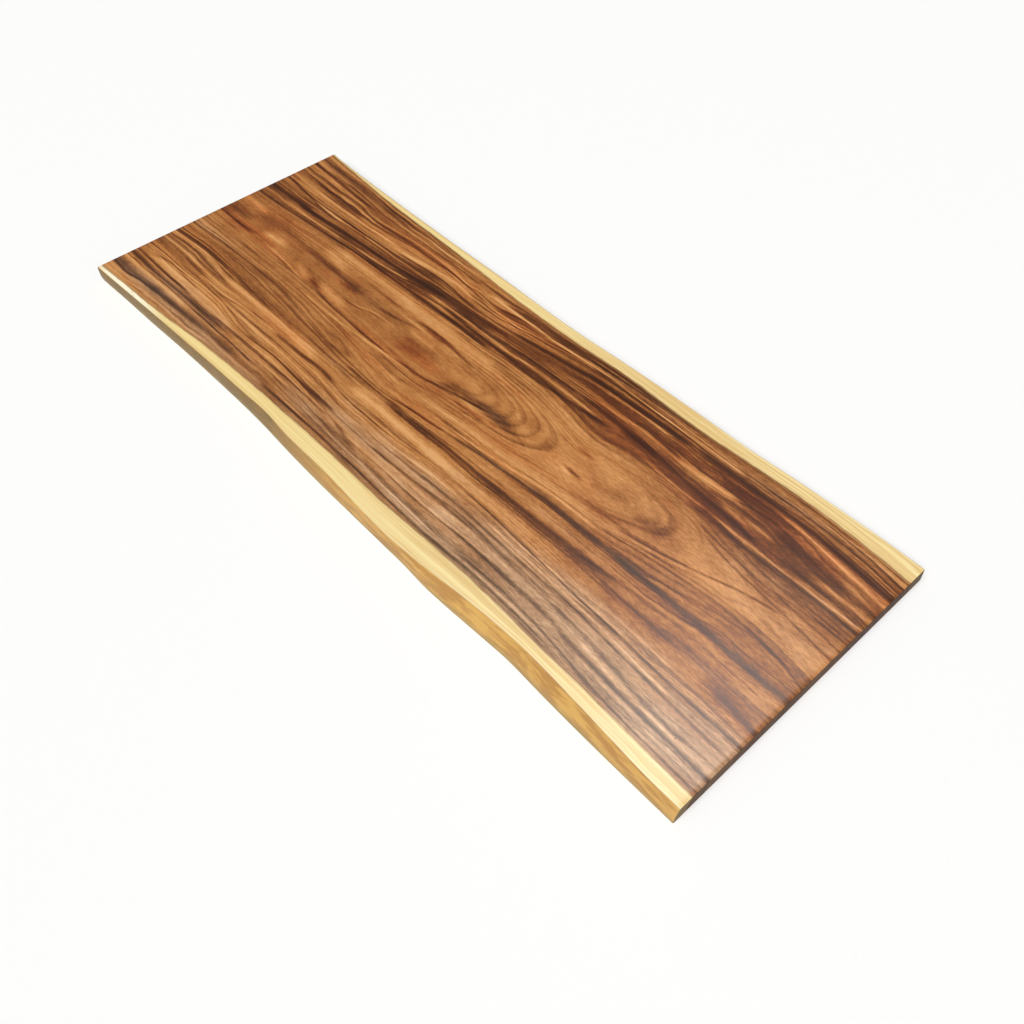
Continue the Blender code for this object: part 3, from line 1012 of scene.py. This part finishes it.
def build_slab():
    """The slab's fine mesh, with its grain stored on its points."""
    flanks = Flanks(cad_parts[SLAB_NODE])
    layers = Layers(flanks)
    places, faces, parts = slab_faces(slab_points(flanks, layers))
    mesh = bpy.data.meshes.new("raintree_slab")
    mesh.from_pydata(places.tolist(), [], faces)
    for name, values in grain_fields(flanks, layers, places).items():
        add_attribute(mesh, name, values)
    lay_out_map(mesh, parts)
    mesh.shade_smooth()
    slab = bpy.data.objects.new("raintree_slab", mesh)
    bpy.context.scene.collection.objects.link(slab)
    return slab


class Nodes:
    """Adds shader nodes to one material in short lines. A value is a socket or a number."""

    # A Mix node's sockets for colours.
    MIX_A = 6
    MIX_B = 7
    MIX_RESULT = 2

    def __init__(self, material):
        self.tree = material.node_tree

    def feed(self, socket, value):
        """Links or sets one input."""
        if isinstance(value, bpy.types.NodeSocket):
            self.tree.links.new(value, socket)
        else:
            socket.default_value = (*value, 1.0) if isinstance(value, tuple) else value

    def add(self, kind, inputs, **settings):
        node = self.tree.nodes.new(kind)
        for name, value in settings.items():
            setattr(node, name, value)
        for name, value in inputs.items():
            self.feed(node.inputs[name], value)
        return node

    def attribute(self, name, output="Fac"):
        return self.add("ShaderNodeAttribute", {}, attribute_name=name).outputs[output]

    def geometry(self, name):
        return self.add("ShaderNodeNewGeometry", {}).outputs[name]

    def split(self, vector):
        return self.add("ShaderNodeSeparateXYZ", {0: vector}).outputs

    def join(self, x, y, z):
        return self.add("ShaderNodeCombineXYZ", {0: x, 1: y, 2: z}).outputs[0]

    def math(self, operation, a, b=0.0, c=0.0):
        return self.add("ShaderNodeMath", {0: a, 1: b, 2: c}, operation=operation).outputs[0]

    def plus(self, a, b):
        return self.math("ADD", a, b)

    def minus(self, a, b):
        return self.math("SUBTRACT", a, b)

    def times(self, a, b):
        return self.math("MULTIPLY", a, b)

    def over(self, a, b):
        return self.math("DIVIDE", a, b)

    def scaled(self, value, gain, start):
        """The start, and the gain times the value."""
        return self.math("MULTIPLY_ADD", value, gain, start)

    def about(self, value, middle, gain, start):
        """The start, and the gain times how far the value is above its middle."""
        return self.scaled(self.minus(value, middle), gain, start)

    def noise(self, place, detail, roughness=0.5):
        inputs = {"Vector": place, "Scale": 1.0, "Detail": detail, "Roughness": roughness}
        return self.add("ShaderNodeTexNoise", inputs).outputs["Fac"]

    def step(self, value, start, end, low=0.0, high=1.0):
        """Low before the start, high after the end and a smooth change between them."""
        inputs = {"Value": value, "From Min": start, "From Max": end, "To Min": low, "To Max": high}
        node = self.add("ShaderNodeMapRange", inputs, interpolation_type="SMOOTHSTEP")
        return node.outputs["Result"]

    def mix(self, factor, a, b, blend="MIX"):
        inputs = {"Factor": factor, self.MIX_A: a, self.MIX_B: b}
        node = self.add("ShaderNodeMix", inputs, data_type="RGBA", blend_type=blend)
        return node.outputs[self.MIX_RESULT]

    def coats(self, colour, coats):
        """Lays coats, each a share and its colour, over a colour."""
        for share, coat in coats:
            colour = self.mix(share, colour, coat)
        return colour

    def ramp(self, value, stops):
        node = self.add("ShaderNodeValToRGB", {"Fac": value})
        elements = node.color_ramp.elements
        while len(elements) < len(stops):
            elements.new(0.5)
        for element, (place, colour) in zip(elements, stops):
            element.position = place
            element.color = (*colour, 1.0)
        return node.outputs["Color"]


class Grain(Nodes):
    """The grain's coordinates and line noises, shared by all of the slab's finishes."""

    def __init__(self, material):
        super().__init__(material)
        self.true_layer, self.along, self.turn = self.split(self.attribute("grain", "Vector"))
        self.shows = self.attribute("shows")
        shift = self.scaled(self.patches(*WANDER), WANDER_SHIFT, -WANDER_SHIFT / 2)
        outer_shift = self.times(self.attribute("outer"), TREMBLE_SHIFT)
        shift = self.about(self.patches(*TREMBLE), NOISE_MIDDLE, outer_shift, shift)
        self.layer = self.plus(self.true_layer, shift)

    def patches(self, width, length, detail):
        """Noise from 0 to 1 that heeds no layer, this wide across the slab and this long."""
        place = self.join(self.over(self.shows, width), self.over(self.along, length), 0.5)
        return self.noise(place, detail)

    def lines(self, width, length, turn, detail, roughness):
        """Noise from 0 to 1 drawn out along the grain, this wide across the layers."""
        across, along = self.over(self.layer, width), self.over(self.along, length)
        return self.noise(self.join(across, along, self.over(self.turn, turn)), detail, roughness)

    def veins(self, lines, level, width):
        """Thin lines, 1 at their middle, where a noise drawn out along the grain passes a level."""
        off = self.math("ABSOLUTE", self.minus(self.lines(*lines), level))
        return self.step(off, width, 0.0)

    def rings(self, spacing):
        """Growth layers from 0 to 1: each darkens slowly and ends at a sharp edge."""
        widths = self.noise(self.join(self.over(self.layer, RING_CHANGE), 0.5, 0.5), 1.0)
        return self.saw(self.scaled(widths, RING_SPREAD, self.over(self.layer, spacing)))

    def flames(self):
        """Lines round long flame shapes, each with one soft side and one sharp side."""
        return self.saw(self.times(self.lines(*FLAMES), FLAME_RINGS))

    def saw(self, phase):
        """Rises slowly from 0 to 1 and falls back at once, over and over."""
        part = self.math("FRACT", phase)
        return self.times(self.step(part, *RING_RISE), self.step(part, *RING_FALL))

    def knots(self):
        """How dark the pin knots make the wood."""
        dark = 0.0
        for *sizes, darkness in KNOTS:
            along, across, radius = np.array(sizes) / MM
            off = self.join(self.minus(self.along, along), self.minus(self.shows, across), 0.0)
            length = self.add("ShaderNodeVectorMath", {0: off}, operation="LENGTH").outputs["Value"]
            dark = self.plus(self.step(length, radius, 0.0, 0.0, darkness / PERCENT), dark)
        return dark

    def edge_noise(self, length, height, detail, roughness):
        """Noise from 0 to 1 on the live edges, this long and this high."""
        rise = self.split(self.geometry("Position"))[2]
        place = self.join(self.over(self.along, length), self.over(rise, height), self.shows)
        return self.noise(place, detail, roughness)


def heartwood_patterns(grain, lines, outer):
    """The patterns that the layers draw in the heartwood: above 0 darker and below it paler."""
    ring_gain = grain.step(grain.lines(*RING_PATCHES), *RING_GAIN)
    ring_gain = grain.times(ring_gain, grain.scaled(outer, *OUTER_RINGS))
    vein_gain = grain.step(grain.lines(*VEIN_PATCHES), *DARK_VEIN_GAIN)
    patterns = (
        (grain.rings(RING_SPACING), RING_MIDDLE, ring_gain),
        (grain.flames(), RING_MIDDLE, FLAME_GAIN),
        (grain.lines(*BANDS), NOISE_MIDDLE, BAND_GAIN),
        (lines, NOISE_MIDDLE, LINE_GAIN),
        (grain.lines(*FINE_LINES), NOISE_MIDDLE, grain.scaled(outer, *OUTER_FINE_GAIN)),
        (grain.veins(DARK_VEINS, *DARK_VEIN), DARK_VEIN_MIDDLE, vein_gain),
        (grain.veins(PALE_VEINS, *PALE_VEIN), PALE_VEIN_MIDDLE, PALE_VEIN_GAIN),
    )
    total = 0.0
    for pattern, middle, gain in patterns:
        total = grain.about(pattern, middle, gain, total)
    return total


def heartwood(grain, marks):
    """Colour of the heartwood: its patterns and placed marks, between red and grey."""
    calm = grain.attribute("calm")
    outer = grain.attribute("outer")
    lines = grain.lines(*LINES)
    cloud = grain.patches(*CLOUD)
    pores = grain.patches(*PORES)

    streaks = grain.times(marks, grain.scaled(grain.step(lines, *BOLD_LINES), *BOLD_GAIN))
    arcs = grain.ramp(grain.over(grain.true_layer, ARC_LAYERS), arc_stops())
    placed = grain.plus(grain.scaled(arcs, grain.attribute("arcs"), streaks), PLAIN_TONE)
    fade = grain.step(grain.math("ABSOLUTE", marks), *PLACED_FADE)
    lively = grain.times(grain.scaled(calm, *CALM_FADE), fade)
    lively = grain.times(lively, grain.scaled(outer, *OUTER_GAIN))
    tone = grain.scaled(heartwood_patterns(grain, lines, outer), lively, placed)
    tone = grain.about(pores, NOISE_MIDDLE, grain.step(grain.along, *PORE_GAIN), tone)
    tone = grain.about(cloud, NOISE_MIDDLE, grain.scaled(calm, *CLOUD_GAIN), tone)
    tone = grain.times(tone, CONTRAST)

    hue = grain.scaled(grain.lines(*HUE_PATCHES), *HUE_GAIN)
    hue = grain.plus(grain.attribute("red"), hue)
    hue = grain.about(cloud, NOISE_MIDDLE, CLOUD_HUE, hue)
    colour = grain.ramp(tone, list(zip(PALETTE_TONES, HEART_PALETTE)))
    redder = grain.mix(1.0, colour, REDDER, "MULTIPLY")
    greyer = grain.ramp(tone, list(zip(PALETTE_TONES, GREY_PALETTE)))
    coats = ((grain.step(hue, *RED_HUES), redder), (grain.step(hue, *GREY_HUES), greyer))
    return grain.coats(colour, coats)


def sapwood(grain, marks):
    """Colour of the planed sapwood: cream with faint lines. Beside the live edges it has painted shade
    over the far part of the slab and a painted highlight, strongest over the near part.
    """
    inside = grain.attribute("inside")
    lines = grain.scaled(marks, SAP_MARK_GAIN, grain.lines(*SAP_LINES))
    rings = grain.times(grain.rings(SAP_RING_SPACING), SAP_RING_SHADE)
    # Painted shade beside the live edges, over the far part of the slab.
    painted_shade = grain.times(grain.step(inside, *PAINTED_SHADE_INWARD), grain.step(grain.along, *PAINTED_SHADE_ALONG))
    # Painted highlight along the live edges, strongest over the near part.
    painted_highlight = grain.times(grain.step(inside, *PAINTED_HIGHLIGHT_INWARD), grain.step(grain.along, *PAINTED_HIGHLIGHT_ALONG))
    coats = (
        (grain.step(lines, *SAP_LINE_SHADE), SAP_SHADE),
        (rings, SAP_SHADE),
        (grain.step(grain.along, *GOLD_ALONG), SAP_GOLD),
        (painted_shade, SAP_SHADE),
        (painted_highlight, SAP_PALE),
        (grain.step(marks, *PALE_MARKS), SAP_PALE),
    )
    return grain.coats(SAP_CREAM, coats)


def live_edge(grain):
    """Colour of the outer face under the bark: ochre, with golden, olive and grey patches. The olive
    over the far part is partly painted shade.
    """
    height = grain.split(grain.geometry("Position"))[2]
    patches = grain.edge_noise(*EDGE_PATCHES)
    fibres = grain.edge_noise(*EDGE_FIBRES)
    # Olive over the far part of the live edges, partly painted shade.
    olive_and_shade = grain.scaled(patches, OLIVE_AND_SHADE_WAVES, grain.along)
    grey = grain.scaled(patches, GREY_WAVES, height)
    coats = (
        (grain.step(patches, *GOLD_PATCHES), EDGE_GOLD),
        (grain.step(olive_and_shade, *OLIVE_AND_SHADE_ALONG), EDGE_OLIVE_AND_SHADE),
        (grain.step(grey, *GREY_HEIGHT), EDGE_GREY),
        (grain.step(fibres, *GOLD_FIBRES), EDGE_GOLD),
    )
    return grain.coats(EDGE_OCHRE, coats)


def raintree_finish():
    """Oiled raintree wood: planed faces, live edges and sawn ends in one material."""
    material = bpy.data.materials.new("raintree_wood")
    material.use_nodes = True
    shader = material.node_tree.nodes["Principled BSDF"]
    grain = Grain(material)

    marks = grain.plus(grain.attribute("dark"), grain.knots())
    border = grain.scaled(grain.patches(*BORDER_WAVES), *BORDER_SHIFT)
    sap = grain.plus(grain.attribute("sap"), border)
    is_edge = grain.step(grain.attribute("inside"), *EDGE_STEP)
    endwise = grain.split(grain.geometry("True Normal"))[0]
    is_end = grain.step(grain.math("ABSOLUTE", endwise), *END_STEP)
    coats = (
        (grain.step(sap, *BORDER_STEP), SAP_BORDER),
        (grain.step(sap, *SAP_STEP), sapwood(grain, marks)),
        (is_edge, live_edge(grain)),
    )
    colour = grain.coats(heartwood(grain, marks), coats)
    end = grain.mix(grain.step(grain.shows, *END_DARKNESS), colour, END_BROWN)
    grain.feed(shader.inputs["Base Color"], grain.mix(is_end, colour, end))

    fibres = grain.lines(*FIBRES)
    rough = grain.scaled(fibres, *ROUGHNESS)
    rough = grain.scaled(is_edge, EDGE_ROUGHER, rough)
    rough = grain.scaled(is_end, END_ROUGHER, rough)
    grain.feed(shader.inputs["Roughness"], rough)
    shader.inputs["Specular IOR Level"].default_value = GLOSS
    relief = {"Height": fibres, "Strength": FIBRE_STRENGTH, "Distance": FIBRE_HEIGHT}
    grain.feed(shader.inputs["Normal"], grain.add("ShaderNodeBump", relief).outputs["Normal"])
    return material


def build_floor():
    """A plain pale floor under the slab."""
    corners = [(x * FLOOR_REACH, y * FLOOR_REACH) for x, y in ((-1, -1), (1, -1), (1, 1), (-1, 1))]
    mesh = bpy.data.meshes.new("floor")
    mesh.from_pydata([(x, y, LOW.z - FLOOR_GAP) for x, y in corners], [], [(0, 1, 2, 3)])
    floor = bpy.data.objects.new("floor", mesh)
    material = bpy.data.materials.new("pale_floor")
    material.use_nodes = True
    shader = material.node_tree.nodes["Principled BSDF"]
    shader.inputs["Base Color"].default_value = (*FLOOR_COLOUR, 1.0)
    shader.inputs["Roughness"].default_value = FLOOR_ROUGHNESS
    mesh.materials.append(material)
    bpy.context.scene.collection.objects.link(floor)


def add_lamp(name, kind, place, target, strength):
    """A lamp at a place, facing its target."""
    light = bpy.data.lights.new(name, kind)
    light.energy = strength
    lamp = bpy.data.objects.new(name, light)
    lamp.location = place
    lamp.rotation_euler = (Vector(target) - Vector(place)).to_track_quat("-Z", "Y").to_euler()
    bpy.context.scene.collection.objects.link(lamp)
    return lamp


def build_lights():
    """Soft studio light: a pale room, broad daylight and a window that glances off the top."""
    world = bpy.data.worlds.new("studio")
    world.use_nodes = True
    background = world.node_tree.nodes["Background"]
    background.inputs["Color"].default_value = (1.0, 1.0, 1.0, 1.0)
    background.inputs["Strength"].default_value = ROOM_STRENGTH
    bpy.context.scene.world = world
    daylight = add_lamp("daylight", "SUN", DAYLIGHT_PLACE, (0.0, 0.0, 0.0), DAYLIGHT_STRENGTH)
    daylight.data.angle = DAYLIGHT_SPREAD
    window = add_lamp("window", "AREA", WINDOW_PLACE, WINDOW_TARGET, WINDOW_POWER)
    window.data.shape = "SQUARE"
    window.data.size = WINDOW_SIZE
    window.data.spread = WINDOW_SPREAD
    window.visible_diffuse = False


def build_camera():
    """The camera where the photograph was taken from."""
    data = bpy.data.cameras.new("camera")
    data.lens = CAMERA_LENS
    data.sensor_width = CAMERA_SENSOR
    data.sensor_fit = "HORIZONTAL"
    camera = bpy.data.objects.new("camera", data)
    turn = Matrix((CAMERA_RIGHT, CAMERA_UP, CAMERA_BACK)).transposed()
    camera.matrix_world = Matrix.Translation(CAMERA_PLACE) @ turn.to_4x4()
    bpy.context.scene.collection.objects.link(camera)
    bpy.context.scene.camera = camera


build_camera()
build_floor()
build_lights()
bpy.context.scene.view_settings.view_transform = "Standard"

slab = build_slab()
slab.data.materials.append(raintree_finish())
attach(slab, "root")
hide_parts(SLAB_NODE)
